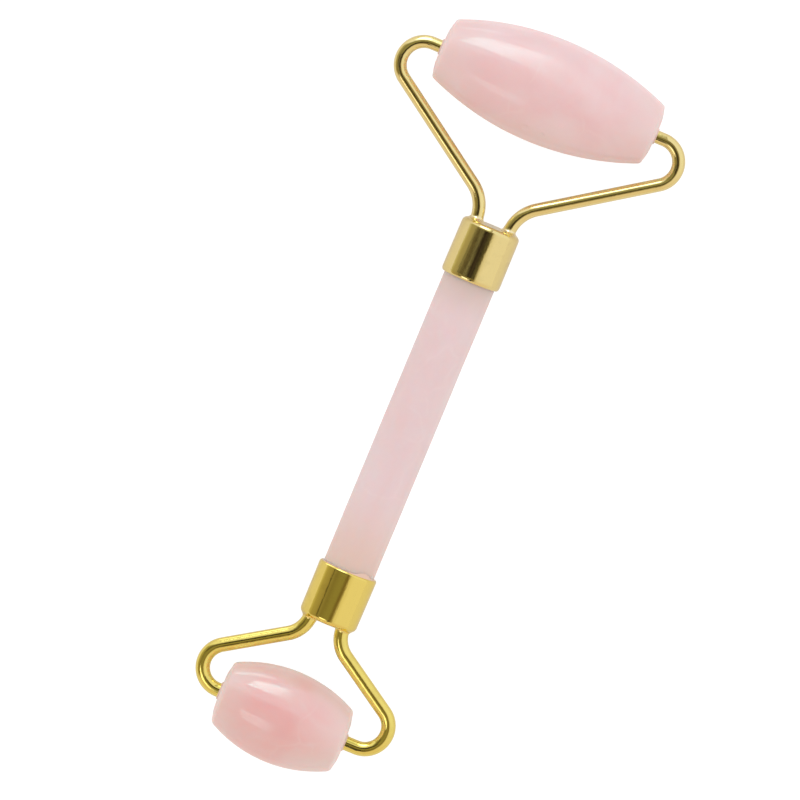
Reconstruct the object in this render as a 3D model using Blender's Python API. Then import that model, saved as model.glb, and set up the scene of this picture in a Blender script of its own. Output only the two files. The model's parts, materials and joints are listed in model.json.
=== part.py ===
"""Double-ended stone face roller.

A turned stone rod is the handle. A brass cap is glued on each end of it, and two bent wire arms are soldered into
the closed face of each cap. The arms' tips point at each other and are the axle of a barrel-shaped stone roller,
which turns on a plastic sleeve in each end of its bore. One roller is large, for cheeks and neck, and one small.

Frame: the handle is level, +Y runs along it towards the large roller, +X runs along both axles and +Z is up. The
origin is under the middle of the tool's outline, at the height of the large roller's underside.
"""

import math
from collections import namedtuple

import bmesh
import bpy
from mathutils import Vector

MM = 0.001

# Handle
HANDLE_RADIUS = 5.0 * MM
HANDLE_SEEN_LENGTH = 58.5 * MM  # between the two caps
HANDLE_CHAMFER = 0.4 * MM

# Cap, a drawn cup
CAP_BORE_RADIUS = 5.3 * MM
CAP_FACE_THICKNESS = 0.8 * MM
CAP_CORNER = 1.0 * MM
CAP_INNER_CORNER = 0.4 * MM
CAP_DRAFT = 0.08 * MM  # the side leans in by this much towards the closed face
CAP_LIP_CHAMFER = 0.1 * MM

# Glue, a pool round the wire stubs and a film down the side of the handle
GLUE_POOL_DEPTH = 2.8 * MM  # from the handle's end to the inside of the cap's face
GLUE_FILM_SETBACK = 0.6 * MM  # the film stops this far inside the cap's mouth
END_GAP = 0.3 * MM  # between the glue and what it meets end to end
SIDE_GAP = 0.06 * MM  # round pieces that are glued, soldered or pressed in

# Wire arms
LEG_OFFSET = 3.25 * MM  # from the handle's axis to a leg's axis at the cap's face
SHOULDER_BEND = 4.4 * MM  # centre-line radius where the arm turns back towards the roller
STUB_LENGTH = 2.0 * MM  # of wire inside the cap
PIN_TIP_CHAMFER = 0.3 * MM
SOLDER_WIDTH = 0.35 * MM
SOLDER_HEIGHT = 0.45 * MM

# Roller bearings
SLEEVE_WALL = 0.25 * MM
SLEEVE_STANDS_OUT = 0.45 * MM  # of the stone's end
RUNNING_GAP = 0.06 * MM  # on the radius, between wire tip and sleeve
LAND_RADIUS = 2.6 * MM  # flat ground round each bore

# Smoothness
TURN_STEPS = 48
SMALL_TURN_STEPS = 24
WIRE_RESOLUTION = 4
DEGREES_PER_BEND_STEP = 8

Head = namedtuple(
    "Head",
    "name towards cap_radius cap_length wire_radius neck_bend arm_reach axle_distance barrel_length"
    " barrel_radius end_radius edge_round end_dome sleeve_length pin_depth rest_shift",
)

LARGE = Head(
    name="large",
    towards=1,  # the handle's +Y end
    cap_radius=5.74 * MM,
    cap_length=10.9 * MM,
    wire_radius=1.22 * MM,
    neck_bend=7.2 * MM,  # centre-line radius where the leg turns outwards
    arm_reach=27.6 * MM,  # from the handle's axis to the wire's axis at the shoulder
    axle_distance=27.1 * MM,  # from the cap's face to the axle
    barrel_length=42.9 * MM,
    barrel_radius=10.0 * MM,
    end_radius=5.75 * MM,
    edge_round=0.6 * MM,
    end_dome=0.45 * MM,
    sleeve_length=9.0 * MM,
    pin_depth=7.5 * MM,  # of wire inside the stone
    rest_shift=0.0,  # along +X, from the middle between the arms, where the barrel comes to lie in its play
)
SMALL = Head(
    name="small",
    towards=-1,
    cap_radius=5.68 * MM,
    cap_length=10.6 * MM,
    wire_radius=1.36 * MM,
    neck_bend=5.6 * MM,
    arm_reach=18.4 * MM,
    axle_distance=19.6 * MM,
    barrel_length=25.0 * MM,
    barrel_radius=8.95 * MM,
    end_radius=5.9 * MM,
    edge_round=0.9 * MM,
    end_dome=0.4 * MM,
    sleeve_length=7.0 * MM,
    pin_depth=5.5 * MM,
    rest_shift=-0.85 * MM,
)


def cap_inside(head):
    """Depth of a cap's hollow."""
    return head.cap_length - CAP_FACE_THICKNESS


def cap_face(head):
    """From the handle's middle to a cap's closed face."""
    return HANDLE_SEEN_LENGTH / 2 + head.cap_length


def tool_end(head):
    """From the handle's middle to the far side of a roller."""
    return cap_face(head) + head.axle_distance + head.barrel_radius


HANDLE_MIDDLE_Y = (tool_end(SMALL) - tool_end(LARGE)) / 2
AXIS_HEIGHT = LARGE.barrel_radius

# Rotations that turn an object's own Z axis
TO_Y = (-math.pi / 2, 0, 0)
TO_MINUS_Y = (math.pi / 2, 0, 0)
TO_X = (0, math.pi / 2, 0)
TO_MINUS_X = (0, -math.pi / 2, 0)


def clear_scene():
    for obj in list(bpy.data.objects):
        bpy.data.objects.remove(obj)


def make_material(name, colour, roughness, metallic):
    made = bpy.data.materials.new(name)
    made.use_nodes = True
    shader = made.node_tree.nodes["Principled BSDF"]
    shader.inputs["Base Color"].default_value = (*colour, 1)
    shader.inputs["Roughness"].default_value = roughness
    shader.inputs["Metallic"].default_value = metallic
    made.diffuse_color = (*colour, 1)
    return made


def link(name, data, parent, location=(0, 0, 0), rotation=(0, 0, 0)):
    obj = bpy.data.objects.new(name, data)
    obj.parent = parent
    obj.location = location
    obj.rotation_euler = rotation
    bpy.context.scene.collection.objects.link(obj)
    return obj


def arc(centre, radius, start, end, steps):
    """Points along an arc, with both ends, from angle start to angle end in degrees."""
    points = []
    for step in range(steps + 1):
        angle = math.radians(start + (end - start) * step / steps)
        points.append((centre[0] + radius * math.cos(angle), centre[1] + radius * math.sin(angle)))
    return points


def turned(name, profile, material, parent, steps=TURN_STEPS, **place):
    """A solid of revolution about the object's own Z. The profile is (radius, z) pairs, closed into a ring unless
    it starts and ends on the axis."""
    bm = bmesh.new()
    corners = [bm.verts.new((radius, 0, z)) for radius, z in profile]
    edges = [bm.edges.new(pair) for pair in zip(corners, corners[1:])]
    if profile[0][0] > 0:
        edges.append(bm.edges.new((corners[-1], corners[0])))
    bmesh.ops.spin(
        bm,
        geom=corners + edges,
        axis=(0, 0, 1),
        cent=(0, 0, 0),
        angle=2 * math.pi,
        steps=steps,
        use_merge=True,
    )
    bmesh.ops.remove_doubles(bm, verts=bm.verts, dist=0.001 * MM)
    bmesh.ops.recalc_face_normals(bm, faces=bm.faces)
    mesh = bpy.data.meshes.new(name)
    bm.to_mesh(mesh)
    bm.free()
    mesh.shade_smooth()
    mesh.set_sharp_from_angle(angle=math.radians(30))
    if material:
        mesh.materials.append(material)
    return link(name, mesh, parent, **place)


def drill(obj, radius, low, high, x):
    """Cuts a round hole along Z of a turned object, at x from its axis and between two heights."""
    profile = [(0, low), (radius, low), (radius, high), (0, high)]
    cutter = turned(f"{obj.name}_drill", profile, None, obj, steps=SMALL_TURN_STEPS, location=(x, 0, 0))
    cutter.hide_render = True
    cutter.display_type = "WIRE"
    hole = obj.modifiers.new("hole", "BOOLEAN")
    hole.operation = "DIFFERENCE"
    hole.object = cutter


def handle_rod(material, parent):
    top = HANDLE_SEEN_LENGTH / 2 + cap_inside(LARGE) - GLUE_POOL_DEPTH
    bottom = HANDLE_SEEN_LENGTH / 2 + cap_inside(SMALL) - GLUE_POOL_DEPTH
    profile = [
        (0, -bottom),
        (HANDLE_RADIUS - HANDLE_CHAMFER, -bottom),
        (HANDLE_RADIUS, -bottom + HANDLE_CHAMFER),
        (HANDLE_RADIUS, top - HANDLE_CHAMFER),
        (HANDLE_RADIUS - HANDLE_CHAMFER, top),
        (0, top),
    ]
    turned("handle_rod", profile, material, parent, rotation=TO_Y)


def cap_place(head):
    """Where a cap's own frame stands: its origin in the middle of its mouth and Z towards its closed face."""
    return {
        "location": (0, head.towards * HANDLE_SEEN_LENGTH / 2, 0),
        "rotation": TO_Y if head.towards > 0 else TO_MINUS_Y,
    }


def end_cap(head, material, parent):
    crown = head.cap_radius - CAP_DRAFT
    inside = cap_inside(head)
    profile = [
        (0, inside),
        (CAP_BORE_RADIUS - CAP_INNER_CORNER, inside),
        (CAP_BORE_RADIUS, inside - CAP_INNER_CORNER),
        (CAP_BORE_RADIUS, 0),
        (head.cap_radius - CAP_LIP_CHAMFER, 0),
        (head.cap_radius, CAP_LIP_CHAMFER),
        *arc((crown - CAP_CORNER, head.cap_length - CAP_CORNER), CAP_CORNER, 0, 90, 3),
        (0, head.cap_length),
    ]
    cap = turned(f"{head.name}_end_cap", profile, material, parent, **cap_place(head))
    for side in (-1, 1):
        drill(cap, head.wire_radius + SIDE_GAP, inside / 2, 2 * inside, side * LEG_OFFSET)


def end_glue(head, material, parent):
    """The hardened glue, a cup round the handle's end with a blind hole for each wire stub."""
    top = cap_inside(head) - END_GAP
    pool_floor = cap_inside(head) - GLUE_POOL_DEPTH + END_GAP
    outside = CAP_BORE_RADIUS - SIDE_GAP
    inside = HANDLE_RADIUS + SIDE_GAP
    profile = [
        (0, pool_floor),
        (inside, pool_floor),
        (inside, GLUE_FILM_SETBACK),
        (outside, GLUE_FILM_SETBACK),
        (outside, top - CAP_INNER_CORNER),
        (outside - CAP_INNER_CORNER, top),
        (0, top),
    ]
    glue = turned(f"{head.name}_end_glue", profile, material, parent, **cap_place(head))
    hole_floor = cap_inside(head) - STUB_LENGTH - SIDE_GAP
    for side in (-1, 1):
        drill(glue, head.wire_radius + SIDE_GAP, hole_floor, 2 * top, side * LEG_OFFSET)


def tangent_slope(neck, shoulder, neck_bend):
    """Slope above +X, in degrees, of the straight wire between two bends that curve opposite ways."""
    across = shoulder - neck
    lean = math.atan2(across.x, across.y)
    return math.degrees(math.acos((neck_bend + SHOULDER_BEND) / across.length) - lean)


def arm_line(head):
    """Centre line of an arm on the +X side, from its stub in the glue to the tip of its pin. The origin is where
    the handle's axis meets the cap's face, and y grows away from the handle."""
    neck = Vector((LEG_OFFSET + head.neck_bend, 0))
    shoulder = Vector((head.arm_reach - SHOULDER_BEND, head.axle_distance - SHOULDER_BEND))
    slope = tangent_slope(neck, shoulder, head.neck_bend)
    neck_steps = round((90 - slope) / DEGREES_PER_BEND_STEP)
    shoulder_steps = round((180 - slope) / DEGREES_PER_BEND_STEP)
    tip_x = head.barrel_length / 2 - head.pin_depth
    return [
        (LEG_OFFSET, -CAP_FACE_THICKNESS - STUB_LENGTH),
        *arc(neck, head.neck_bend, 180, 90 + slope, neck_steps),
        *arc(shoulder, SHOULDER_BEND, slope - 90, 90, shoulder_steps),
        (tip_x + PIN_TIP_CHAMFER, head.axle_distance),
        (tip_x, head.axle_distance),
    ]


def arm(head, side, side_name, material, parent):
    """One bent wire, a round bar swept along its centre line."""
    name = f"{head.name}_{side_name}_arm"
    wire = bpy.data.curves.new(name, "CURVE")
    wire.dimensions = "3D"
    wire.bevel_depth = head.wire_radius
    wire.bevel_resolution = WIRE_RESOLUTION
    wire.use_fill_caps = True
    wire.materials.append(material)
    line = arm_line(head)
    spline = wire.splines.new("POLY")
    spline.points.add(len(line) - 1)
    for point, (x, y) in zip(spline.points, line):
        point.co = (side * x, head.towards * y, 0, 1)
    spline.points[-1].radius = 1 - PIN_TIP_CHAMFER / head.wire_radius
    link(name, wire, parent, location=(0, head.towards * cap_face(head), 0))


def solder(head, side, side_name, material, parent):
    """The hollow fillet of solder round a leg where it enters the cap's face."""
    inside = head.wire_radius + SIDE_GAP
    outside = inside + SOLDER_WIDTH
    bottom = SIDE_GAP
    top = bottom + SOLDER_HEIGHT
    profile = [
        (inside, bottom),
        (outside, bottom),
        (outside - SOLDER_WIDTH * 0.2, bottom + SOLDER_HEIGHT * 0.15),
        (inside + SOLDER_WIDTH * 0.4, bottom + SOLDER_HEIGHT * 0.45),
        (inside + SOLDER_WIDTH * 0.15, top),
        (inside, top),
    ]
    turned(
        f"{head.name}_{side_name}_solder",
        profile,
        material,
        parent,
        steps=SMALL_TURN_STEPS,
        location=(side * LEG_OFFSET, head.towards * cap_face(head), 0),
        rotation=cap_place(head)["rotation"],
    )


def sleeve_radius(head):
    return head.wire_radius + RUNNING_GAP + SLEEVE_WALL


def barrel_half(head):
    """(radius, z) points of half a barrel's skin, from the middle of its belly to the flat land round its bore."""
    top = head.barrel_length / 2
    edge_z = top - head.end_dome
    drop = head.barrel_radius - head.end_radius
    belly = (edge_z**2 + drop**2) / (2 * drop)
    belly_centre = head.barrel_radius - belly
    round_z = edge_z - head.edge_round
    # The edge's rounding touches the belly from inside, so the two centres are one difference of radii apart.
    round_centre = belly_centre + math.sqrt((belly - head.edge_round) ** 2 - round_z**2)
    lean = math.degrees(math.atan2(round_z, round_centre - belly_centre))
    points = arc((belly_centre, 0), belly, 0, lean, 8)
    points += arc((round_centre, round_z), head.edge_round, lean, 90, 3)[1:]
    for share in (0.35, 1):
        radius = round_centre + (LAND_RADIUS - round_centre) * share
        points.append((radius, edge_z + head.end_dome * math.sin(share * math.pi / 2)))
    return points


def roller_stone(head, material, parent):
    """The stone barrel with a bore right through it."""
    half = barrel_half(head)
    bore = sleeve_radius(head) + SIDE_GAP
    top = head.barrel_length / 2
    lower_half = [(radius, -z) for radius, z in reversed(half[1:])]
    profile = [(bore, -top), *lower_half, *half, (bore, top)]
    turned(f"{head.name}_roller_stone", profile, material, parent, rotation=TO_X)


def sleeve(head, side, side_name, material, parent):
    """A plastic sleeve in one end of the bore. It stands out, so that the stone never rubs on the arm."""
    inside = head.wire_radius + RUNNING_GAP
    outside = sleeve_radius(head)
    profile = [
        (inside, -head.sleeve_length),
        (outside, -head.sleeve_length),
        (outside, SLEEVE_STANDS_OUT - SLEEVE_WALL / 2),
        (outside - SLEEVE_WALL / 2, SLEEVE_STANDS_OUT),
        (inside, SLEEVE_STANDS_OUT),
    ]
    turned(
        f"{head.name}_{side_name}_sleeve",
        profile,
        material,
        parent,
        steps=SMALL_TURN_STEPS,
        location=(side * head.barrel_length / 2, 0, 0),
        rotation=TO_X if side > 0 else TO_MINUS_X,
    )


def main():
    clear_scene()
    handle_quartz = make_material("handle_quartz", (0.8, 0.6, 0.59), 0.45, 0.0)
    large_quartz = make_material("large_roller_quartz", (0.83, 0.58, 0.57), 0.18, 0.0)
    small_quartz = make_material("small_roller_quartz", (0.84, 0.5, 0.48), 0.18, 0.0)
    cap_gilding = make_material("gilt_cap", (0.88, 0.68, 0.28), 0.1, 1.0)
    wire_gilding = make_material("gilt_wire", (0.86, 0.64, 0.24), 0.14, 1.0)
    solder_gilding = make_material("gilt_solder", (0.86, 0.68, 0.34), 0.3, 1.0)
    nylon = make_material("natural_nylon", (0.88, 0.78, 0.68), 0.35, 0.0)
    epoxy = make_material("epoxy", (0.85, 0.78, 0.6), 0.3, 0.0)

    tool = link("tool", None, None, location=(0, HANDLE_MIDDLE_Y, AXIS_HEIGHT))
    handle_rod(handle_quartz, tool)
    for head, quartz in ((LARGE, large_quartz), (SMALL, small_quartz)):
        end_cap(head, cap_gilding, tool)
        end_glue(head, epoxy, tool)
        axle_y = head.towards * (cap_face(head) + head.axle_distance)
        axle = link(f"{head.name}_axle", None, tool, location=(head.rest_shift, axle_y, 0))
        roller_stone(head, quartz, axle)
        for side, side_name in ((-1, "left"), (1, "right")):
            arm(head, side, side_name, wire_gilding, tool)
            solder(head, side, side_name, solder_gilding, tool)
            sleeve(head, side, side_name, nylon, axle)


main()
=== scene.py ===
"""Looks of the double-ended rose quartz face roller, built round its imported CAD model.

Every size comes from the CAD nodes' boxes, apart from the named values, which shape what a box
can't tell.
"""

import json
import math

import bmesh
import bpy
from mathutils import Matrix, Vector, noise


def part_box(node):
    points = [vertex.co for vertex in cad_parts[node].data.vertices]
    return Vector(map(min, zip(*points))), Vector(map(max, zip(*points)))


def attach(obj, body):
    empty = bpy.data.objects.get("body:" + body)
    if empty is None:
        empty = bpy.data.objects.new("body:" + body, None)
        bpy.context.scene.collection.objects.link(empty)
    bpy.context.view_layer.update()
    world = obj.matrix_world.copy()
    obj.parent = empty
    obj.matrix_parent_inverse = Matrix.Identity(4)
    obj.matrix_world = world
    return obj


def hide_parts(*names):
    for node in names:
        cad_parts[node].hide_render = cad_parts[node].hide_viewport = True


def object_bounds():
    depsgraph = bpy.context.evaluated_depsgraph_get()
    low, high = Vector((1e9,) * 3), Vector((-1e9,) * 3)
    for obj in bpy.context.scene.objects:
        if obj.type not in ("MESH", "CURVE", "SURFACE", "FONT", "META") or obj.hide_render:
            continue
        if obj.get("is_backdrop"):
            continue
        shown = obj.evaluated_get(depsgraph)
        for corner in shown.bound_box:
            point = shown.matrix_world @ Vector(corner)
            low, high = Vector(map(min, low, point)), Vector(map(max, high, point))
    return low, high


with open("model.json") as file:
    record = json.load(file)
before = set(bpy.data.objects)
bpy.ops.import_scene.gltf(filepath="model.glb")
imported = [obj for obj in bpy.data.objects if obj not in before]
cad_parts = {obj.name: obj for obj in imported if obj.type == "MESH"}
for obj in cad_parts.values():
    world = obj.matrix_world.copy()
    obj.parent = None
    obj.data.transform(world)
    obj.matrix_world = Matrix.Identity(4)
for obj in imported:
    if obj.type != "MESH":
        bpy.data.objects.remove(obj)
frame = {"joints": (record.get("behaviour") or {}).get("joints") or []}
CAD_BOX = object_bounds()

MM = 0.001

# Camera: straight down on the tool, leaning a little towards its large end
CAMERA_TILT = math.radians(4.7)
CAMERA_ROLL = math.radians(22.61)
CAMERA_AIM = Vector((-3.37, -0.74, 0)) * MM  # from the middle of the tool
PICTURE_WIDTH = 148.7 * MM
LENS = 400.0
SENSOR = 36.0

HEADS = {"large": 1, "small": -1}  # which way along Y each head points
SIDES = {"left": -1, "right": 1}
X, Y = 0, 1  # an axis as a place in a vector

ON_AXIS = 0.001 * MM  # radius of the tiny ring that a closed end finishes in


# -----------------------------------------------------------------------------------------
# Node wiring
# -----------------------------------------------------------------------------------------


class Tree:
    """Wires shader nodes. An input is a socket, a number or a tuple."""

    def __init__(self, node_tree):
        self.nodes = node_tree.nodes
        self.links = node_tree.links
        self.nodes.clear()

    def node(self, kind, inputs=None, **settings):
        made = self.nodes.new(kind)
        for key, value in settings.items():
            setattr(made, key, value)
        for key, value in (inputs or {}).items():
            self.feed(made.inputs[key], value)
        return made

    def feed(self, target, value):
        if isinstance(value, bpy.types.NodeSocket):
            self.links.new(value, target)
        elif isinstance(value, tuple) and len(value) == 3 and target.type == "RGBA":
            target.default_value = (*value, 1)
        else:
            target.default_value = value

    def math(self, operation, *values):
        return self.node("ShaderNodeMath", dict(enumerate(values)), operation=operation).outputs[0]

    def times(self, *values):
        """The product of two or more values."""
        product = values[0]
        for value in values[1:]:
            product = self.math("MULTIPLY", product, value)
        return product

    def smooth(self, value, low, high, to_low=0.0, to_high=1.0):
        """value rising smoothly from low to high, mapped to the range to_low to to_high."""
        inputs = {"Value": value, "From Min": low, "From Max": high}
        inputs |= {"To Min": to_low, "To Max": to_high}
        return self.node("ShaderNodeMapRange", inputs, interpolation_type="SMOOTHSTEP").outputs[0]

    def band(self, value, low, high, edge):
        """1 while value is between low and high, 0 outside, with soft edges."""
        rise = self.smooth(value, low - edge, low + edge)
        fall = self.smooth(value, high - edge, high + edge)
        return self.math("SUBTRACT", rise, fall)

    def mix(self, share, first, second, blend="MIX"):
        made = self.node("ShaderNodeMix", data_type="RGBA", blend_type=blend)
        self.feed(made.inputs["Factor"], share)
        self.feed(made.inputs[6], first)
        self.feed(made.inputs[7], second)
        return made.outputs[2]

    def profile(self, value, stops, low, high):
        """The colour at value, between low and high, of stops given as (value, (red, green, blue))
        pairs."""
        share = self.node("ShaderNodeMapRange", {"Value": value, "From Min": low, "From Max": high})
        made = self.node("ShaderNodeValToRGB", {0: share.outputs[0]})
        elements = made.color_ramp.elements
        while len(elements) < len(stops):
            elements.new(0.5)
        for element, (place, colour) in zip(elements, stops):
            element.position = (place - low) / (high - low)
            element.color = (*colour, 1)
        return made.outputs[0]

    def noise(self, where, scale, detail=3.0, rough=0.5, twist=0.0):
        inputs = {"Vector": where, "Scale": scale, "Detail": detail, "Roughness": rough}
        inputs["Distortion"] = twist
        return self.node("ShaderNodeTexNoise", inputs).outputs["Fac"]

    def stretched(self, where, scale, shift=(0, 0, 0)):
        inputs = {"Vector": where, "Scale": scale, "Location": shift}
        return self.node("ShaderNodeMapping", inputs).outputs[0]

    def bump(self, height, strength, distance, normal=None):
        inputs = {"Height": height, "Strength": strength, "Distance": distance}
        if normal:
            inputs["Normal"] = normal
        return self.node("ShaderNodeBump", inputs).outputs[0]

    def here(self):
        return self.node("ShaderNodeTexCoord").outputs["Object"]

    def attribute(self, name):
        return self.node("ShaderNodeAttribute", attribute_name=name).outputs["Vector"]

    def turned_away(self, blend):
        """0 where the surface faces the eye, rising to 1 at its silhouette."""
        return self.node("ShaderNodeLayerWeight", {"Blend": blend}).outputs["Facing"]

    def ray(self, kind):
        """1 for the rays of one kind, such as Camera or Glossy."""
        return self.node("ShaderNodeLightPath").outputs[f"Is {kind} Ray"]


def new_material(name):
    made = bpy.data.materials.new(name)
    made.use_nodes = True
    return made, Tree(made.node_tree)


def close_surface(tree, **inputs):
    named = {key.replace("_", " "): value for key, value in inputs.items()}
    shader = tree.node("ShaderNodeBsdfPrincipled", named)
    tree.node("ShaderNodeOutputMaterial", {"Surface": shader.outputs[0]})


# -----------------------------------------------------------------------------------------
# Materials
# -----------------------------------------------------------------------------------------

# A stone's finish: the strength of its mirror image, the blur of that image and of the haze over
# it, the depth of its ripple, and how much of the painted end tint its silhouette takes: a
# painted greyer see-through on the rollers, painted shade on the handle
POLISHED = {"shine": 1.0, "shine_rough": 0.04, "haze_rough": 0.4, "relief": 0.04, "painted_silhouette": 0.35}
FROSTED = {**POLISHED, "shine": 1.5, "painted_silhouette": 0.75}
SATIN = {"shine": 0.1, "shine_rough": 0.4, "haze_rough": 0.6, "relief": 0.1, "painted_silhouette": 0.35}

CLOUD_SCALE = 70.0
HEALED_CRACK = (0.95, 0.86, 0.84)
STONE_IN_GILT = (0.9, 0.84, 0.76)  # what a stone's colour leans to where the gilt parts mirror it
SHINE_TINT = (0.45, 1.0, 0.97, 1.0)  # turns the stone's mirror image white over its pink
RELIEF_DEPTH = 0.04 * MM
SKIN_DEPTH = 3.2 * MM  # how far light travels inside the stone


def healed_cracks(tree, placed):
    """1 on the thin walls between warped cells, in patches."""
    wobble = tree.node("ShaderNodeTexNoise", {"Vector": placed, "Scale": 90.0, "Detail": 2.0})
    push = {0: wobble.outputs["Color"], "Scale": 0.012}
    shift = tree.node("ShaderNodeVectorMath", push, operation="SCALE").outputs[0]
    warped = tree.node("ShaderNodeVectorMath", {0: placed, 1: shift}, operation="ADD").outputs[0]
    pattern = {"Vector": warped, "Scale": 95.0}
    cells = tree.node("ShaderNodeTexVoronoi", pattern, feature="DISTANCE_TO_EDGE")
    wall = tree.smooth(cells.outputs["Distance"], 0.0, 0.05, 1.0, 0.0)
    patch = tree.smooth(tree.noise(placed, 110.0, detail=2), 0.5, 0.68)
    return tree.times(wall, patch)


def chip_bump(tree, here, centre, size, normal):
    """The ragged edge of a chip of radius size."""
    away = tree.node("ShaderNodeVectorMath", {0: here, 1: centre}, operation="DISTANCE")
    rough_edge = tree.noise(here, 1800.0)
    ragged = tree.math("MULTIPLY_ADD", rough_edge, 0.5 * size, away.outputs["Value"])
    return tree.bump(tree.smooth(ragged, size * 0.5, size * 1.3), 1.0, CHIP_BUMP, normal)


def rose_quartz(name, pale, deep, ends, box, axis, seed, polish, chips=()):
    """Milky translucent stone: drifting pale clouds, deeper pink between them and thin healed
    cracks. ends holds each end's painted tint, the shares of the half length between which it
    comes in, and its strength, for 1 and -1 along the axis; the silhouette also takes the tint at
    1. The tint is painted light and shade: a greyer, less pink end where light shows through
    thinner stone, or painted shade where a cap shades the handle. chips are (place, radius) pairs."""
    material, tree = new_material(name)
    here = tree.here()
    placed = tree.stretched(here, (1, 1, 1), shift=seed)
    clouds = tree.noise(placed, CLOUD_SCALE, detail=4, rough=0.55, twist=0.8)
    drift = tree.noise(placed, CLOUD_SCALE * 0.4, detail=2, rough=0.5, twist=1.5)
    share = tree.math("MULTIPLY_ADD", drift, 0.6, tree.times(clouds, 0.4))
    colour = tree.mix(tree.smooth(share, 0.38, 0.62), pale, deep)
    colour = tree.mix(tree.times(healed_cracks(tree, placed), 0.1), colour, HEALED_CRACK)

    along = tree.node("ShaderNodeSeparateXYZ", {0: here}).outputs[axis]
    from_middle = tree.math("SUBTRACT", along, box.middle[axis])
    half_length = box.half[axis]
    # painted light and shade: each end's tint, shade beside a cap or a greyer see-through end
    for side, (tint, start, full, strength) in ends.items():
        painted_end_share = tree.smooth(tree.times(from_middle, side), half_length * start, half_length * full)
        colour = tree.mix(tree.times(painted_end_share, strength), colour, tint)
    # painted at the silhouette too: greyer see-through on a roller, shade on the handle
    painted_silhouette_tint = ends[1][0]
    colour = tree.mix(tree.times(tree.turned_away(0.35), polish["painted_silhouette"]), colour, painted_silhouette_tint)
    # painted reflection: the stone shows paler in the gilt parts' mirror images
    colour = tree.mix(tree.times(tree.ray("Glossy"), 0.55), colour, STONE_IN_GILT)

    grain = tree.noise(placed, 900.0, detail=4, rough=0.6)
    ripple = tree.noise(placed, 160.0, detail=2)
    normal = tree.bump(tree.math("MULTIPLY_ADD", grain, 0.15, ripple), polish["relief"], RELIEF_DEPTH)
    for centre, size in chips:
        normal = chip_bump(tree, here, centre, size, normal)
    head_on = tree.smooth(tree.turned_away(0.5), 0.32, 0.62, 1.0, 0.0)
    haze = polish["haze_rough"]
    close_surface(
        tree,
        Base_Color=colour,
        Roughness=polish["shine_rough"],
        IOR=1.5,
        Specular_IOR_Level=tree.times(head_on, 0.5 * polish["shine"]),
        Specular_Tint=SHINE_TINT,
        Subsurface_Weight=0.85,
        Subsurface_Radius=(1.0, 0.55, 0.45),
        Subsurface_Scale=SKIN_DEPTH,
        Coat_Weight=tree.times(head_on, 0.6),
        Coat_Roughness=tree.smooth(grain, 0.3, 0.7, haze * 0.8, haze * 1.25),
        Coat_IOR=1.5,
        Normal=normal,
        Coat_Normal=normal,
    )
    return material


def gilding(name, tint, seed, rough=0.04, streak=0.12, pitted=0.1):
    """Light gold plate: mirror bright, a little wavy from the metal under it, with patches of
    drawn streaks and fine pits, and duller worn spots."""
    material, tree = new_material(name)
    placed = tree.stretched(tree.here(), (1, 1, 1), shift=seed)
    wrap = tree.attribute("wrap")
    waves = tree.noise(placed, 240.0, detail=2, rough=0.45)
    pits = tree.noise(placed, 2600.0, detail=3, rough=0.6)
    drawn = tree.noise(tree.stretched(wrap, (1, 1, 0.05)), 3.2, detail=4, rough=0.6)
    patches = tree.noise(tree.stretched(wrap, (1, 1, 0.5)), 0.9, detail=3, rough=0.65)
    patchy = tree.smooth(patches, 0.42, 0.66)
    worn = tree.smooth(tree.noise(placed, 420.0, detail=3), 0.52, 0.75)
    dull = tuple(channel * 0.93 for channel in tint)
    height = tree.math("MULTIPLY_ADD", tree.times(pits, patchy), pitted, waves)
    height = tree.math("MULTIPLY_ADD", tree.times(drawn, patchy), streak, height)
    close_surface(
        tree,
        Base_Color=tree.mix(worn, tint, dull),
        Metallic=1.0,
        Roughness=tree.math("MULTIPLY_ADD", tree.smooth(drawn, 0.5, 0.75), 0.06, rough),
        Normal=tree.bump(height, 0.3, 0.05 * MM),
    )
    return material


def solder_metal(name, tint):
    material, tree = new_material(name)
    lumps = tree.noise(tree.here(), 1500.0, detail=3)
    close_surface(
        tree,
        Base_Color=tint,
        Metallic=1.0,
        Roughness=tree.smooth(lumps, 0.3, 0.7, 0.14, 0.24),
        Normal=tree.bump(lumps, 0.15, 0.05 * MM),
    )
    return material


def nylon():
    material, tree = new_material("natural_nylon")
    mottle = tree.noise(tree.here(), 700.0, detail=2)
    close_surface(
        tree,
        Base_Color=tree.mix(mottle, (0.88, 0.68, 0.6), (0.82, 0.58, 0.5)),
        Roughness=tree.smooth(mottle, 0.3, 0.7, 0.35, 0.5),
        Specular_IOR_Level=0.3,
        Normal=tree.bump(mottle, 0.15, 0.05 * MM),
    )
    return material


def hardened_glue():
    material, tree = new_material("hardened_glue")
    mottle = tree.noise(tree.here(), 500.0, detail=3)
    close_surface(
        tree,
        Base_Color=tree.mix(mottle, (0.83, 0.61, 0.5), (0.79, 0.55, 0.44)),
        Roughness=tree.smooth(mottle, 0.3, 0.7, 0.25, 0.4),
        IOR=1.5,
        Specular_IOR_Level=0.3,
        Normal=tree.bump(mottle, 0.3, 0.08 * MM),
    )
    return material


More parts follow.
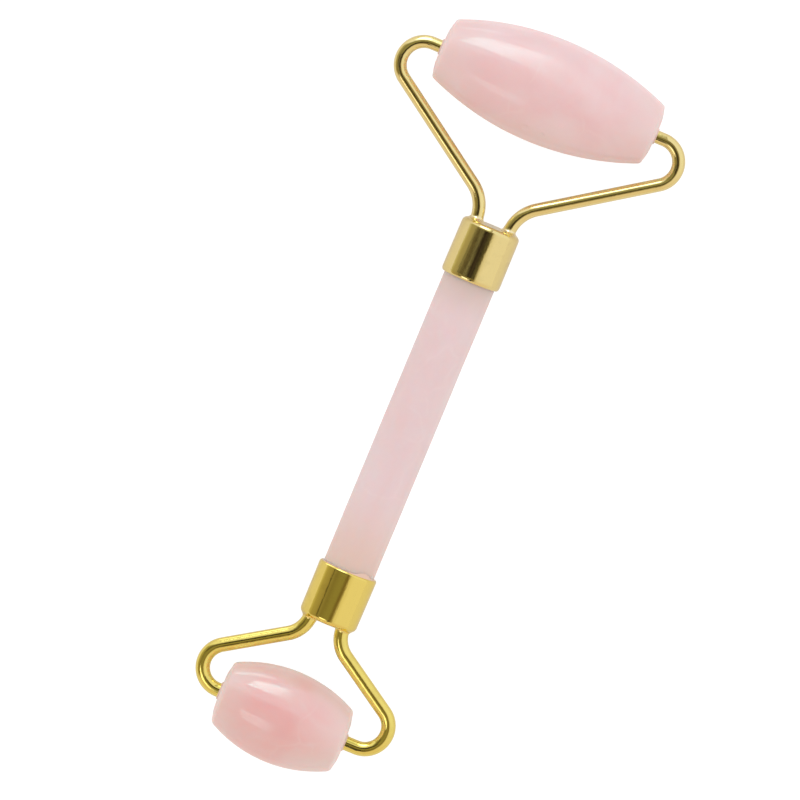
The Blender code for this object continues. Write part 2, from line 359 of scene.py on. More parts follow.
def floor_paper():
    """Pale matt board, bright enough to lose all but the deepest of the tool's shadow."""
    material, tree = new_material("floor_board")
    fibre = tree.noise(tree.here(), 400.0, detail=4)
    seen = tree.ray("Camera")
    mirrored = tree.ray("Glossy")
    shade = tree.times(
        tree.smooth(fibre, 0.3, 0.7, 0.9, 0.94),
        tree.math("MULTIPLY_ADD", seen, -0.78, 1.0),
        tree.math("MULTIPLY_ADD", mirrored, -0.09, 1.0),
    )
    close_surface(
        tree,
        Base_Color=tree.node("ShaderNodeCombineColor", {0: shade, 1: shade, 2: shade}).outputs[0],
        Roughness=0.9,
        Specular_IOR_Level=0.0,
        Emission_Color=(1.0, 1.0, 1.0),
        Emission_Strength=tree.times(seen, 0.92),
    )
    return material


# -----------------------------------------------------------------------------------------
# Mesh making
# -----------------------------------------------------------------------------------------


def arc(centre, radius, start, end, steps):
    """Points along an arc, with both ends, from angle start to angle end in degrees."""
    points = []
    for step in range(steps + 1):
        angle = math.radians(start + (end - start) * step / steps)
        points.append((centre[0] + radius * math.cos(angle), centre[1] + radius * math.sin(angle)))
    return points


def straight(start, end, pieces):
    """The points strictly between two points."""
    start, end = Vector(start), Vector(end)
    return [tuple(start.lerp(end, i / pieces)) for i in range(1, pieces)]


def skin(name, rings, material, ring_loop=False, sharp=40):
    """A mesh through rings of points, all of the same number. The end rings are capped, or
    joined to each other in a ring loop. Edges above the sharp angle stay creased."""
    bm = bmesh.new()
    loops = [[bm.verts.new(point) for point in ring] for ring in rings]
    count = len(loops[0])
    pairs = list(zip(loops, loops[1:]))
    if ring_loop:
        pairs.append((loops[-1], loops[0]))
    for low, high in pairs:
        for i in range(count):
            j = (i + 1) % count
            bm.faces.new((low[i], low[j], high[j], high[i]))
    if not ring_loop:
        bm.faces.new(loops[0])
        bm.faces.new(loops[-1])
    bmesh.ops.recalc_face_normals(bm, faces=bm.faces)
    mesh = bpy.data.meshes.new(name)
    bm.to_mesh(mesh)
    bm.free()
    wrap_points(mesh, rings)
    mesh.shade_smooth()
    mesh.set_sharp_from_angle(angle=math.radians(sharp))
    mesh.materials.append(material)
    obj = bpy.data.objects.new(name, mesh)
    bpy.context.scene.collection.objects.link(obj)
    return obj


def wrap_points(mesh, rings):
    """Stores on each vertex where it lies round its ring, as x and y, and how far along the
    rings, as z, in mm."""
    wrap = mesh.attributes.new("wrap", "FLOAT_VECTOR", "POINT")
    along = 0.0
    places = []
    before = None
    for ring in rings:
        middle = sum(ring, Vector()) / len(ring)
        spread = (ring[0] - middle).length
        if before:
            along += (middle - before).length
        before = middle
        for step in range(len(ring)):
            angle = 2 * math.pi * step / len(ring)
            places += [spread * math.cos(angle) / MM, spread * math.sin(angle) / MM, along / MM]
    wrap.data.foreach_set("vector", places)


def turned(name, profile, centre, axis, material, shape, segments=96, ring_loop=True, sharp=40):
    """A turned piece. profile is (radius, height along axis) pairs. shape moves each finished
    point."""
    axis = Vector(axis)
    across = Vector((0, 0, 1))
    third = axis.cross(across)
    rings = []
    for radius, height in profile:
        ring = []
        for step in range(segments):
            angle = 2 * math.pi * step / segments
            spoke = across * math.cos(angle) + third * math.sin(angle)
            point = Vector(centre) + axis * height + spoke * radius
            ring.append(shape(point, spoke, radius, height, angle))
        rings.append(ring)
    return skin(name, rings, material, ring_loop=ring_loop, sharp=sharp)


def wavy(amount, scale, seed):
    """A shape function that pushes each point along its spoke by a smooth random amount."""

    def shape(point, spoke, radius, height, angle):
        return point + spoke * amount * noise.noise(point * scale + Vector(seed))

    return shape


def finish_piece(obj, body, node):
    """Puts a piece on its body, in place of its CAD node."""
    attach(obj, body)
    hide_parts(node)


# -----------------------------------------------------------------------------------------
# Sizes read off the CAD
# -----------------------------------------------------------------------------------------


class Box:
    """A CAD node's box, with the middle and half sizes."""

    def __init__(self, node):
        self.low, self.high = (Vector(corner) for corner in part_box(node))
        self.middle = (self.low + self.high) / 2
        self.half = (self.high - self.low) / 2


def end_y(box, towards):
    """y of the face of a box that looks towards +Y or -Y."""
    return box.high.y if towards > 0 else box.low.y


def joint_place(head):
    for joint in frame["joints"]:
        if joint["name"] == f"{head}_roller_spin":
            return Vector(joint["pos_m"])
    raise ValueError(head)


# -----------------------------------------------------------------------------------------
# Handle and caps
# -----------------------------------------------------------------------------------------

ROD_CHAMFER = 0.4 * MM
ROD_STEPS = 60


def handle_stone(material):
    box = Box("handle_rod")
    radius, half = box.half.x, box.half.y
    straight_half = half - ROD_CHAMFER
    profile = [
        (ON_AXIS, -half),
        (radius - ROD_CHAMFER, -half),
        *[(radius, straight_half * (2 * i / ROD_STEPS - 1)) for i in range(ROD_STEPS + 1)],
        (radius - ROD_CHAMFER, half),
        (ON_AXIS, half),
    ]
    shape = wavy(amount=0.035 * MM, scale=130.0, seed=(3, 1, 7))
    obj = turned("handle_stone", profile, box.middle, (0, 1, 0), material, shape, ring_loop=False)
    finish_piece(obj, "handle", "handle_rod")


CAP_CORNER = 1.0 * MM  # round between the wall and the closed end
CAP_FACE = 0.8 * MM  # thickness of the closed end
CAP_WALL = 0.43 * MM
CAP_TAPER = 0.08 * MM  # how much less its radius is at the closed end
CAP_STEPS = 12  # rings along the wall and round the lip
INSIDE_BEVEL = 0.4 * MM
LIP_ROUND = {"large": 0.9 * MM, "small": 0.45 * MM}
LIP_FLAT = 0.05 * MM  # of the wall's thickness, inside the rounded lip
MOUTH_ROUND = 0.04 * MM  # of the mouth's inner edge
MOUTH_RING = 0.1 * MM  # up from the mouth, where the inner wall starts
FACE_RING = 0.15 * MM  # in from the corner, so that the flat face shades flat


def cap(head, towards, material):
    box = Box(f"{head}_end_cap")
    radius, length = box.half.x, 2 * box.half.y
    crown = radius - CAP_TAPER
    inner = radius - CAP_WALL
    ceiling = length - CAP_FACE
    lip_round = LIP_ROUND[head]
    lip_width = CAP_WALL - LIP_FLAT
    lip = [
        (radius - lip_width + across * lip_width, (1 + up) * lip_round)
        for across, up in arc((0, 0), 1, -90, 0, CAP_STEPS)
    ]
    wall = straight((radius, lip_round), (crown, length - CAP_CORNER), CAP_STEPS)
    profile = [
        (ON_AXIS, ceiling),
        (inner - INSIDE_BEVEL, ceiling),
        (inner, ceiling - INSIDE_BEVEL),
        (inner, MOUTH_RING),
        *arc((inner + MOUTH_ROUND, MOUTH_ROUND), MOUTH_ROUND, 180, 270, steps=3),
        *lip,
        *wall,
        *arc((crown - CAP_CORNER, length - CAP_CORNER), CAP_CORNER, 0, 90, steps=16),
        (crown - CAP_CORNER - FACE_RING, length),
        (ON_AXIS, length),
    ]
    mouth = Vector((0, end_y(box, -towards), box.middle.z))
    shape = wavy(amount=0.012 * MM, scale=350.0, seed=(5, 9, 2))
    axis = (0, towards, 0)
    obj = turned(f"{head}_cap", profile, mouth, axis, material, shape, segments=160, ring_loop=False)
    finish_piece(obj, "handle", f"{head}_end_cap")


GLUE_BITE = 0.1 * MM  # how far it reaches into the stone
GLUE_DEPTH = 1.5 * MM  # how far it reaches into the cap
GLUE_BACK = 0.05 * MM  # how far inside the mouth it meets the wall
GLUE_OVERLAP = 0.01 * MM  # with the cap's wall
GLUE_STEPS = 10
GLUE_HOLLOW = 1.3  # how much its face curves in, where 1 is flat
GLUE_SWELL = 0.08  # of a blob's height, that it swells sideways at the mouth
GLUE_PROUD = {"large": 0.02 * MM, "small": 0.04 * MM}
GLUE_BLOBS = {"large": [], "small": [(1.2 * MM, -0.68, 0.36)]}  # height, angle from the top, spread


def glue_bead(head, towards, material):
    """What squeezed out between handle and cap: a thin meniscus that swells at each blob."""
    rod = Box("handle_rod").half.x
    cap_box = Box(f"{head}_end_cap")
    mouth = Vector((0, end_y(cap_box, -towards), cap_box.middle.z))
    proud = GLUE_PROUD[head]
    inner = rod - GLUE_BITE
    outer = cap_box.half.x - CAP_WALL + GLUE_OVERLAP
    profile = [(inner, GLUE_DEPTH), (outer, GLUE_DEPTH), (outer, GLUE_BACK)]
    for i in range(GLUE_STEPS + 1):
        share = i / GLUE_STEPS
        profile.append((inner + (outer - inner) * (1 - share) ** GLUE_HOLLOW, -proud * share))

    def swollen(point, spoke, radius, height, angle):
        if height > 0:
            return point
        blob = 0
        for size, swell_at, spread in GLUE_BLOBS[head]:
            away = math.atan2(math.sin(angle - swell_at), math.cos(angle - swell_at))
            blob += size * math.exp(-((away / spread) ** 2))
        round_here = Vector((math.cos(angle), math.sin(angle), towards))
        ragged = proud * (noise.noise(round_here * 3.1) + 0.4)
        share = -height / proud
        down = Vector((0, -towards, 0)) * max(blob + ragged, 0) * share
        return point + down + spoke * blob * GLUE_SWELL * (1 - share)

    axis = (0, towards, 0)
    obj = turned(f"{head}_glue_bead", profile, mouth, axis, material, swollen, segments=128)
    finish_piece(obj, "handle", f"{head}_end_glue")


# -----------------------------------------------------------------------------------------
# Wires
# -----------------------------------------------------------------------------------------

NECK_BEND = {"large": 7.2 * MM, "small": 5.6 * MM}
SHOULDER_BEND = 4.4 * MM
PIN_DEPTH = {"large": 7.5 * MM, "small": 5.5 * MM}  # of wire inside the stone
WIRE_SIDES = 40
NECK_STEPS, SLANT_STEPS, SHOULDER_STEPS, AXLE_STEPS = 24, 16, 56, 8  # along the wire, from the cap


def tangent_slope(neck, shoulder, neck_bend):
    """Slope above +X, in degrees, of the straight wire between two bends that curve opposite
    ways."""
    across = shoulder - neck
    lean = math.atan2(across.x, across.y)
    return math.degrees(math.acos((neck_bend + SHOULDER_BEND) / across.length) - lean)


def arm_line(head, towards, side_name):
    """The wire's centre line in the plane of the axles, as (x, y) points measured from the cap's
    face, with x away from the handle's axis and y away from the handle."""
    wire = Box(f"{head}_{side_name}_arm")
    cap_face = end_y(Box(f"{head}_end_cap"), towards)
    radius = wire.half.z
    leg = abs(Box(f"{head}_{side_name}_solder").middle.x)
    reach = max(abs(wire.low.x), abs(wire.high.x)) - radius
    axle = abs(joint_place(head).y - cap_face)
    tip = Box(f"{head}_roller_stone").half.x - PIN_DEPTH[head]
    stub = abs(end_y(wire, -towards) - cap_face)
    bend = NECK_BEND[head]
    neck = Vector((leg + bend, 0))
    shoulder = Vector((reach - SHOULDER_BEND, axle - SHOULDER_BEND))
    slope = tangent_slope(neck, shoulder, bend)
    neck_arc = arc(neck, bend, 180, 90 + slope, NECK_STEPS)
    shoulder_arc = arc(shoulder, SHOULDER_BEND, slope - 90, 90, SHOULDER_STEPS)
    line = [
        (leg, -stub),
        *neck_arc,
        *straight(neck_arc[-1], shoulder_arc[0], SLANT_STEPS),
        *shoulder_arc,
        *straight(shoulder_arc[-1], (tip, axle), AXLE_STEPS),
        (tip, axle),
    ]
    return [Vector(point) for point in line], radius, cap_face


def arm(head, towards, side_name, material):
    side = SIDES[side_name]
    line, radius, cap_face = arm_line(head, towards, side_name)
    height = joint_place(head).z
    rings = []
    last = len(line) - 1
    for i, point in enumerate(line):
        before, after = line[max(i - 1, 0)], line[min(i + 1, last)]
        tangent = (after - before).normalized()
        normal = Vector((tangent.y, -tangent.x))
        ring = []
        for step in range(WIRE_SIDES):
            angle = 2 * math.pi * step / WIRE_SIDES
            x, y = point + normal * radius * math.cos(angle)
            ring.append(Vector((side * x, cap_face + towards * y, height + radius * math.sin(angle))))
        rings.append(ring)
    obj = skin(f"{head}_{side_name}_wire", rings, material)
    finish_piece(obj, "handle", f"{head}_{side_name}_arm")


SOLDER_SPREAD = 1.3  # of the CAD collar's, before it turns lumpy
SOLDER_CLIMB = 0.75 * MM
SOLDER_SUNK = 0.1 * MM
SOLDER_INSIDE = 0.9  # of the wire's radius, out of sight in the wire
SOLDER_LIFT = 0.01 * MM  # of its hollow face off the cap
SOLDER_STEPS = 8


def solder_collar(head, towards, side_name, material):
    """A hollow fillet that climbs the leg unevenly and spreads over the cap's face."""
    box = Box(f"{head}_{side_name}_solder")
    cap_box = Box(f"{head}_end_cap")
    wire = Box(f"{head}_{side_name}_arm").half.z
    centre = Vector((box.middle.x, end_y(cap_box, towards), box.middle.z))
    spread = (box.half.x - wire) * SOLDER_SPREAD
    flat = cap_box.half.x - CAP_TAPER - CAP_CORNER
    inner = wire * SOLDER_INSIDE
    profile = [(inner, -SOLDER_SUNK), (wire + spread, -SOLDER_SUNK)]
    for i in range(SOLDER_STEPS + 1):
        turn = math.radians(90 * i / SOLDER_STEPS)
        up = SOLDER_CLIMB * (1 - math.cos(turn)) + SOLDER_LIFT
        profile.append((wire + spread * (1 - math.sin(turn)), up))
    profile.append((inner, SOLDER_CLIMB + SOLDER_LIFT))
    outwards = Vector((0, towards, 0))
    seed = Vector((box.middle.x * 900, towards * 7, 4))

    def lumpy(point, spoke, radius, height, angle):
        """Swells and climbs unevenly, and follows the cap's rounded corner down."""
        round_here = Vector((math.cos(angle), math.sin(angle), 0)) * 1.3 + seed
        swell = noise.noise(round_here)
        wider = spoke * max(radius - wire, 0) * (0.25 + 0.6 * swell)
        climb = outwards * max(height, 0) * 0.45 * swell
        moved = point + wider + climb
        past_flat = max(math.hypot(moved.x, moved.z - centre.z) - flat, 0)
        past_flat = min(past_flat, CAP_CORNER * 0.99)
        return moved - outwards * (CAP_CORNER - math.sqrt(CAP_CORNER**2 - past_flat**2))

    name = f"{head}_{side_name}"
    obj = turned(f"{name}_fillet", profile, centre, outwards, material, lumpy, segments=48, sharp=70)
    finish_piece(obj, "handle", f"{name}_solder")


# -----------------------------------------------------------------------------------------
# Rollers
# -----------------------------------------------------------------------------------------

END_SHARE = {"large": 0.575, "small": 0.66}  # end radius over belly radius
EDGE_ROUND = {"large": 0.9 * MM, "small": 1.3 * MM}
END_DOME = {"large": 0.45 * MM, "small": 0.4 * MM}
LAND_RADIUS = 2.6 * MM  # of the flat round the bore
BORE_LIP = 0.15 * MM  # bevel at the bore's mouth
BUSH_GAP = 0.06 * MM  # between bush and stone, and between bush and wire
BUSH_BACK = 0.2 * MM  # how far its tip is behind the CAD's
BARREL_LEAN = 0.02  # slope of the ends against square to the bore
BELLY_STEPS = 54
EDGE_STEPS = 12
EDGE_END = 86  # degrees from straight out, where the rounded edge meets the domed end
DOME_STEPS = 8

CHIPS = {"large": [(-1.4, 0.95), (1.9, 0.6)], "small": []}  # mm from mid-belly, and radius in mm
CHIP_SHARE = 0.76  # of the belly's radius, towards the handle
CHIP_DEPTH = 0.09 * MM
CHIP_BUMP = 0.08 * MM  # of their ragged edges


def barrel_half(head, length, belly_radius):
    """(radius, height) points of half a barrel's skin, from the middle of its belly to the land
    round its bore."""
    dome = END_DOME[head]
    edge_round = EDGE_ROUND[head]
    edge = length / 2 - dome
    drop = belly_radius * (1 - END_SHARE[head])
    belly = (edge**2 + drop**2) / (2 * drop)
    belly_centre = belly_radius - belly
    round_height = edge - edge_round
    round_centre = belly_centre + math.sqrt((belly - edge_round) ** 2 - round_height**2)
    lean = math.degrees(math.atan2(round_height, round_centre - belly_centre))
    points = arc((belly_centre, 0), belly, 0, lean, BELLY_STEPS)
    points += arc((round_centre, round_height), edge_round, lean, EDGE_END, EDGE_STEPS)[1:]
    for i in range(1, DOME_STEPS + 1):
        share = i / DOME_STEPS
        radius = round_centre + (LAND_RADIUS - round_centre) * share
        points.append((radius, edge + dome * math.sin(share * math.pi / 2)))
    return points


def chip_places(head):
    """The middle, on the upper skin of a barrel, and the radius of each chip."""
    box = Box(f"{head}_roller_stone")
    rise = math.sqrt(1 - CHIP_SHARE**2)
    places = []
    for across, size in CHIPS[head]:
        drop = box.half.z * (1 - END_SHARE[head]) * (across * MM / box.half.x) ** 2
        radius = box.half.z - drop
        offset = (across * MM, -HEADS[head] * CHIP_SHARE * radius, rise * radius)
        places.append((tuple(box.middle + Vector(offset)), size * MM))
    return places


def roller_stone(head, towards, material):
    box = Box(f"{head}_roller_stone")
    bore = Box(f"{head}_left_sleeve").half.z + BUSH_GAP
    half_length, radius = box.half.x, box.half.z
    upper = barrel_half(head, 2 * half_length, radius)
    lower = [(out, -height) for out, height in reversed(upper[1:])]
    profile = [
        (bore, BORE_LIP - half_length),
        (bore + BORE_LIP, -half_length),
        *lower,
        *upper,
        (bore + BORE_LIP, half_length),
        (bore, half_length - BORE_LIP),
    ]
    push = wavy(amount=0.09 * MM, scale=60.0, seed=(2, towards, 1))
    chipped = chip_places(head)

    def hand_ground(point, spoke, radius, height, angle):
        """The hand-ground ends aren't quite square to the bore, and the belly is chipped."""
        if radius <= bore + BORE_LIP:
            return point
        moved = push(point, spoke, radius, height, angle)
        share = abs(height) / half_length
        moved.x += towards * BARREL_LEAN * (moved.y - box.middle.y) * share**6
        for middle, size in chipped:
            away = (moved - Vector(middle)).length / size
            moved -= spoke * CHIP_DEPTH * max(1 - away**2, 0)
        return moved

    axis = (1, 0, 0)
    obj = turned(f"{head}_stone", profile, box.middle, axis, material, hand_ground, segments=160)
    finish_piece(obj, f"{head}_roller", f"{head}_roller_stone")


def sleeve(head, side_name, material):
    box = Box(f"{head}_{side_name}_sleeve")
    side = SIDES[side_name]
    inside = Box(f"{head}_{side_name}_arm").half.z + BUSH_GAP
    outside = box.half.z
    lip = (outside - inside) / 2
    tip = box.half.x - BUSH_BACK - lip
    profile = [
        (inside, -box.half.x),
        (outside, -box.half.x),
        (outside, tip),
        *arc((outside - lip, tip), lip, 0, 180, steps=10)[1:],
    ]
    push = wavy(amount=0.03 * MM, scale=900.0, seed=(side, 3, 5))

    def only_rim(point, spoke, radius, height, angle):
        return push(point, spoke, radius, height, angle) if radius > inside * 1.02 else point

    name = f"{head}_{side_name}"
    axis = (side, 0, 0)
    obj = turned(f"{name}_bush", profile, box.middle, axis, material, only_rim, segments=64)
    finish_piece(obj, f"{head}_roller", f"{name}_sleeve")


# -----------------------------------------------------------------------------------------
# Studio
# -----------------------------------------------------------------------------------------

# The tent's colours at its near end, -Y, and its far end: first what lights the tool, then what
# the polished parts mirror
TENT_LIGHT = ((0.8, 0.68, 0.6), (1.07, 1.06, 1.08))
TENT_MIRRORED = ((0.78, 0.66, 0.56), (0.9, 0.9, 0.93))
TENT_LIGHT_Y = (-0.9, 0.6)  # y of the directions between which the near colour turns to the far one
TENT_MIRRORED_Y = (-0.9, 0.5)

# How dim the gap in the tent is, by the angle in degrees from straight up towards +X
GAP_PROFILE = [
    (-93, (1.0, 1.0, 1.0)),
    (-84, (0.62, 0.60, 0.36)),
    (-76, (0.50, 0.46, 0.26)),
    (-62, (0.44, 0.41, 0.24)),
    (-53, (0.40, 0.36, 0.20)),
    (-49, (0.13, 0.12, 0.06)),
    (-45, (0.33, 0.31, 0.18)),
    (-34, (0.27, 0.25, 0.13)),
    (-14, (0.32, 0.31, 0.16)),
    (-2, (0.32, 0.31, 0.16)),
    (8, (0.21, 0.17, 0.08)),
    (13, (0.30, 0.26, 0.14)),
    (21, (0.90, 0.88, 0.80)),
    (34, (1.0, 1.0, 1.0)),
]
GAP_ANGLES = (-100, 40)  # the gap's profile lies between these
GAP_ENDS = (-0.62, 0.42)  # y of the directions where the gap starts and stops
GAP_BLUR = 0.08

# What the dark card over the large end mirrors, by the same angle
CARD_PROFILE = [
    (-58, (0.33, 0.30, 0.18)),
    (-47, (0.17, 0.147, 0.083)),
    (-36, (0.12, 0.10, 0.055)),
    (-25, (0.18, 0.165, 0.11)),
    (-18, (0.10, 0.09, 0.06)),
    (-12, (0.033, 0.024, 0.017)),
    (-2, (0.05, 0.04, 0.03)),
    (6, (0.08, 0.07, 0.04)),
    (13, (0.16, 0.14, 0.08)),
]
CARD_HEIGHT = 0.3
CARD_Y = (-0.03, 0.055)

FLOOR_RADIUS = 4.0
FLOOR_GAP = 0.02 * MM  # under the tool's lowest point


def floor(material):
    bm = bmesh.new()
    bmesh.ops.create_circle(bm, cap_ends=True, radius=FLOOR_RADIUS, segments=64)
    mesh = bpy.data.meshes.new("floor")
    bm.to_mesh(mesh)
    bm.free()
    mesh.materials.append(material)
    obj = bpy.data.objects.new("floor", mesh)
    obj.location.z = CAD_BOX[0].z - FLOOR_GAP
    bpy.context.scene.collection.objects.link(obj)
    obj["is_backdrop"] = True


def studio_world():
    """A pale tent, white to the camera. What is polished also mirrors a dim gap in it, left of
    straight up, that the camera looks through."""
    world = bpy.data.worlds.new("studio")
    world.use_nodes = True
    tree = Tree(world.node_tree)
    way = tree.node("ShaderNodeTexCoord").outputs["Generated"]
    x, y, z = tree.node("ShaderNodeSeparateXYZ", {0: way}).outputs
    around = tree.math("DEGREES", tree.math("ARCTAN2", x, z))
    gap = tree.profile(around, GAP_PROFILE, *GAP_ANGLES)
    in_gap = tree.band(y, *GAP_ENDS, GAP_BLUR)
    tent = tree.mix(tree.smooth(y, *TENT_MIRRORED_Y), *TENT_MIRRORED)
    mirrored = tree.mix(in_gap, tent, tree.mix(1.0, tent, gap, blend="MULTIPLY"))
    light = tree.mix(tree.smooth(y, *TENT_LIGHT_Y), *TENT_LIGHT)
    colour = tree.mix(tree.ray("Glossy"), light, mirrored)
    colour = tree.mix(tree.ray("Camera"), colour, (1.0, 1.0, 1.0))
    background = tree.node("ShaderNodeBackground", {"Color": colour, "Strength": 1.0})
    tree.node("ShaderNodeOutputWorld", {"Surface": background.outputs[0]})
    bpy.context.scene.world = world


def level_corners(left, right, near, far, height):
    return [(left, near, height), (right, near, height), (right, far, height), (left, far, height)]


def card(name, corners, material):
    """A flat four-cornered card, seen only in what is polished, with its own frame run from -1
    to 1 both ways."""
    bm = bmesh.new()
    bm.faces.new([bm.verts.new(corner) for corner in corners])
    mesh = bpy.data.meshes.new(name)
    bm.to_mesh(mesh)
    bm.free()
    spread = mesh.attributes.new("spread", "FLOAT_VECTOR", "POINT")
    spread.data.foreach_set("vector", [-1, -1, 0, 1, -1, 0, 1, 1, 0, -1, 1, 0])
    mesh.materials.append(material)
    obj = bpy.data.objects.new(name, mesh)
    obj.visible_camera = False
    obj.visible_shadow = False
    obj.visible_diffuse = False
    obj.visible_transmission = False
    bpy.context.scene.collection.objects.link(obj)
    obj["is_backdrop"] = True


def dark_card():
    """Hung over the large end, streaked and mottled."""
    material, tree = new_material("dark_card")
    place = tree.node("ShaderNodeNewGeometry").outputs["Position"]
    x = tree.node("ShaderNodeSeparateXYZ", {0: place}).outputs[X]
    around = tree.math("DEGREES", tree.math("ARCTANGENT", tree.math("DIVIDE", x, CARD_HEIGHT)))
    first, last = CARD_PROFILE[0][0], CARD_PROFILE[-1][0]
    mottle = tree.noise(tree.stretched(place, (60, 500, 1)), 1.0, detail=2, rough=0.6)
    streaks = tree.noise(tree.stretched(place, (80, 15, 1)), 1.0, detail=2)
    strength = tree.times(
        tree.smooth(mottle, 0.36, 0.6, 0.55, 1.25),
        tree.smooth(streaks, 0.35, 0.65, 0.7, 1.3),
    )
    colour = tree.profile(around, CARD_PROFILE, first, last)
    glow = tree.node("ShaderNodeEmission", {"Color": colour, "Strength": strength})
    tree.node("ShaderNodeOutputMaterial", {"Surface": glow.outputs[0]})
    left, right = (math.tan(math.radians(angle)) * CARD_HEIGHT for angle in (first, last))
    card("dark_card", level_corners(left, right, *CARD_Y, CARD_HEIGHT), material)


def panel(name, corners, strength, colour, fade, dim=(0, 0, 0), sheer=False):
    """A glowing panel. corners start at its left near corner and go round by the right. fade is
    how much of the panel its left, right, near and far edges take to sink to the dim colour. A
    sheer panel is clear glass that glows on the side from which its corners run anticlockwise."""
    material, tree = new_material(name)
    u, v, _ = tree.node("ShaderNodeSeparateXYZ", {0: tree.attribute("spread")}).outputs
    share = tree.times(
        tree.times(
            tree.smooth(u, -1.0, -1.0 + 2 * fade[0]),
            tree.smooth(u, 1.0 - 2 * fade[1], 1.0, 1.0, 0.0),
        ),
        tree.times(
            tree.smooth(v, -1.0, -1.0 + 2 * fade[2]),
            tree.smooth(v, 1.0 - 2 * fade[3], 1.0, 1.0, 0.0),
        ),
    )
    if sheer:
        behind = tree.node("ShaderNodeNewGeometry").outputs["Backfacing"]
        share = tree.times(share, tree.math("SUBTRACT", 1.0, behind))
    full = tuple(channel * strength for channel in colour)
    surface = tree.node("ShaderNodeEmission", {"Color": tree.mix(share, dim, full)}).outputs[0]
    if sheer:
        clear = tree.node("ShaderNodeBsdfTransparent").outputs[0]
        surface = tree.node("ShaderNodeAddShader", {0: surface, 1: clear}).outputs[0]
    tree.node("ShaderNodeOutputMaterial", {"Surface": surface})
    card(name, corners, material)


def hang_panels():
    """A long key light beyond the large end, a warm fill beyond the small one, and two low cards
    on the left, one beyond the large end and one beside the handle."""
    panel(
        "key",
        corners=[(-0.485, 0.49, 0.35), (0.05, 0.185, 0.35), (0.18, 1.8, 0.35), (-1.15, 2.3, 0.35)],
        strength=4.6,
        colour=(0.86, 1.0, 0.98),
        fade=(0.1, 0.55, 0.03, 0.75),
        dim=(0.42, 0.38, 0.28),
    )
    panel(
        "fill",
        corners=level_corners(left=-0.28, right=0.04, near=-0.15, far=-0.39, height=0.35),
        strength=1.7,
        colour=(1.0, 0.94, 0.88),
        fade=(0.15, 0.5, 0.1, 0.25),
    )
    panel(
        "low_card",
        corners=level_corners(left=-0.06, right=-0.012, near=0.102, far=0.142, height=0.001),
        strength=2.5,
        colour=(1, 1, 1),
        fade=(0.2, 0.5, 0.3, 0.3),
    )
    left, right = -0.064, -0.012
    foot, top = (-0.022, 0.001), (0.0195, 0.0145)
    panel(
        "ramp_card",
        corners=[(left, *foot), (right, *foot), (right, *top), (left, *top)],
        strength=1.9,
        colour=(0.95, 1.0, 1.0),
        fade=(0.3, 0.3, 0.35, 0.35),
        sheer=True,
    )


def camera():
    data = bpy.data.cameras.new("camera")
    data.lens = LENS
    data.sensor_width = SENSOR
    data.clip_start = 0.05
    data.clip_end = 20.0
    obj = bpy.data.objects.new("camera", data)
    middle = (CAD_BOX[0] + CAD_BOX[1]) / 2
    aim = middle + CAMERA_AIM
    back = Vector((0, math.sin(CAMERA_TILT), math.cos(CAMERA_TILT)))
    up = Vector((-math.sin(CAMERA_ROLL), math.cos(CAMERA_ROLL), 0))
    right = up.cross(back).normalized()
    up = back.cross(right)
    obj.location = aim + back * (PICTURE_WIDTH * LENS / SENSOR)
    obj.rotation_mode = "QUATERNION"
    obj.rotation_quaternion = Matrix((right, up, back)).transposed().to_quaternion()
    bpy.context.scene.collection.objects.link(obj)
    bpy.context.scene.camera = obj


# -----------------------------------------------------------------------------------------
# Putting it together
# -----------------------------------------------------------------------------------------


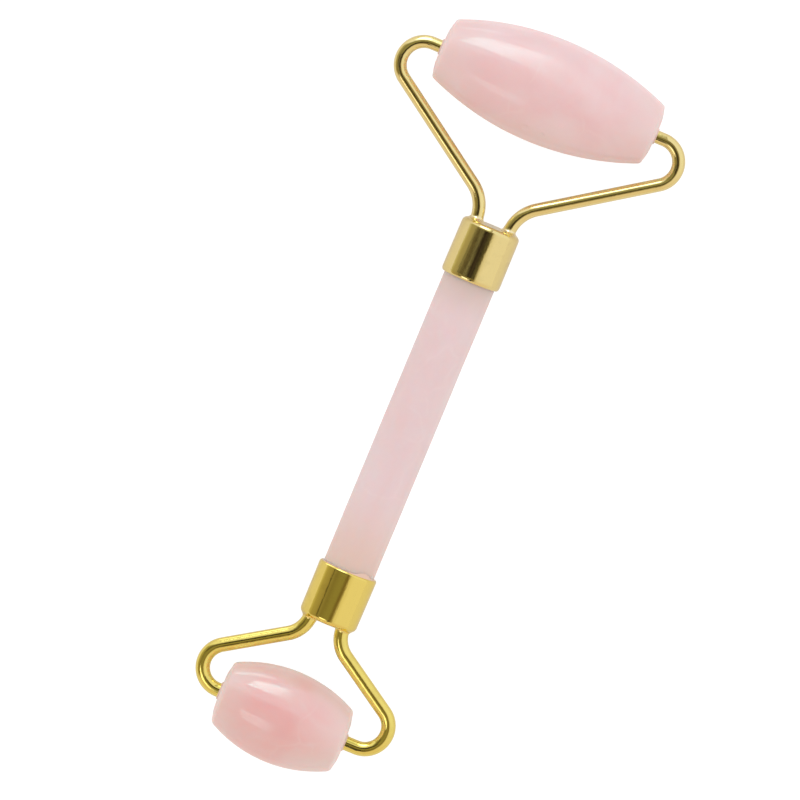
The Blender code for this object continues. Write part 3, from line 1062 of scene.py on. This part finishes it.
def stones():
    """The three quartz materials. The handle's two ends get unequal painted shade."""
    # painted: the rollers' ends turn greyer and less pink, where light shows through thin stone
    large_roller_painted_end = ((0.83, 0.66, 0.64), 0.5, 1.02, 0.7)
    small_roller_painted_end = ((0.82, 0.68, 0.64), 0.35, 0.95, 0.6)
    return {
        "large": rose_quartz(
            "large_rose_quartz",
            pale=(0.88, 0.68, 0.69),
            deep=(0.87, 0.59, 0.6),
            ends={1: large_roller_painted_end, -1: large_roller_painted_end},
            box=Box("large_roller_stone"),
            axis=X,
            seed=(0.3, 0.1, 0.2),
            polish=POLISHED,
            chips=chip_places("large"),
        ),
        "small": rose_quartz(
            "small_rose_quartz",
            pale=(0.84, 0.66, 0.64),
            deep=(0.86, 0.51, 0.5),
            ends={1: small_roller_painted_end, -1: small_roller_painted_end},
            box=Box("small_roller_stone"),
            axis=X,
            seed=(0.7, 0.5, 0.9),
            polish=FROSTED,
        ),
        "handle": rose_quartz(
            "handle_rose_quartz",
            pale=(0.82, 0.7, 0.72),
            deep=(0.81, 0.65, 0.665),
            # painted shade where the caps shade the handle's ends, deeper at the large end at +Y
            ends={
                1: ((0.68, 0.557, 0.505), 0.58, 0.85, 1.0),
                -1: ((0.775, 0.592, 0.511), 0.30, 0.91, 1.0),
            },
            box=Box("handle_rod"),
            axis=Y,
            seed=(0.2, 0.8, 0.4),
            polish=SATIN,
        ),
    }


def main():
    bpy.context.scene.view_settings.view_transform = "Standard"
    quartz = stones()
    cap_gold = {
        "large": gilding("pale_gilding", (0.91, 0.76, 0.33), seed=(0.1, 0.2, 0.3), pitted=0.5),
        "small": gilding("yellow_gilding", (0.92, 0.74, 0.19), seed=(0.6, 0.4, 0.3), pitted=0.3),
    }
    drawn = {"rough": 0.07, "streak": 0.6}
    wire_gold = {
        "large": gilding("pale_wire_gilding", (0.93, 0.78, 0.34), seed=(0.9, 0.2, 0.5), **drawn),
        "small": gilding("yellow_wire_gilding", (0.93, 0.77, 0.2), seed=(0.3, 0.7, 0.1), **drawn),
    }
    solder = {
        "large": solder_metal("pale_solder", (0.96, 0.84, 0.5)),
        "small": solder_metal("yellow_solder", (0.93, 0.76, 0.26)),
    }
    bush_nylon = nylon()
    glue = hardened_glue()

    handle_stone(quartz["handle"])
    for head, towards in HEADS.items():
        cap(head, towards, cap_gold[head])
        roller_stone(head, towards, quartz[head])
        for side_name in SIDES:
            arm(head, towards, side_name, wire_gold[head])
            solder_collar(head, towards, side_name, solder[head])
            sleeve(head, side_name, bush_nylon)
    for head, towards in HEADS.items():
        glue_bead(head, towards, glue)

    floor(floor_paper())
    studio_world()
    dark_card()
    hang_panels()
    camera()


main()

boxes = {"cad": CAD_BOX, "visual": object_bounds()}
{name: [list(corner) for corner in box] for name, box in boxes.items()}
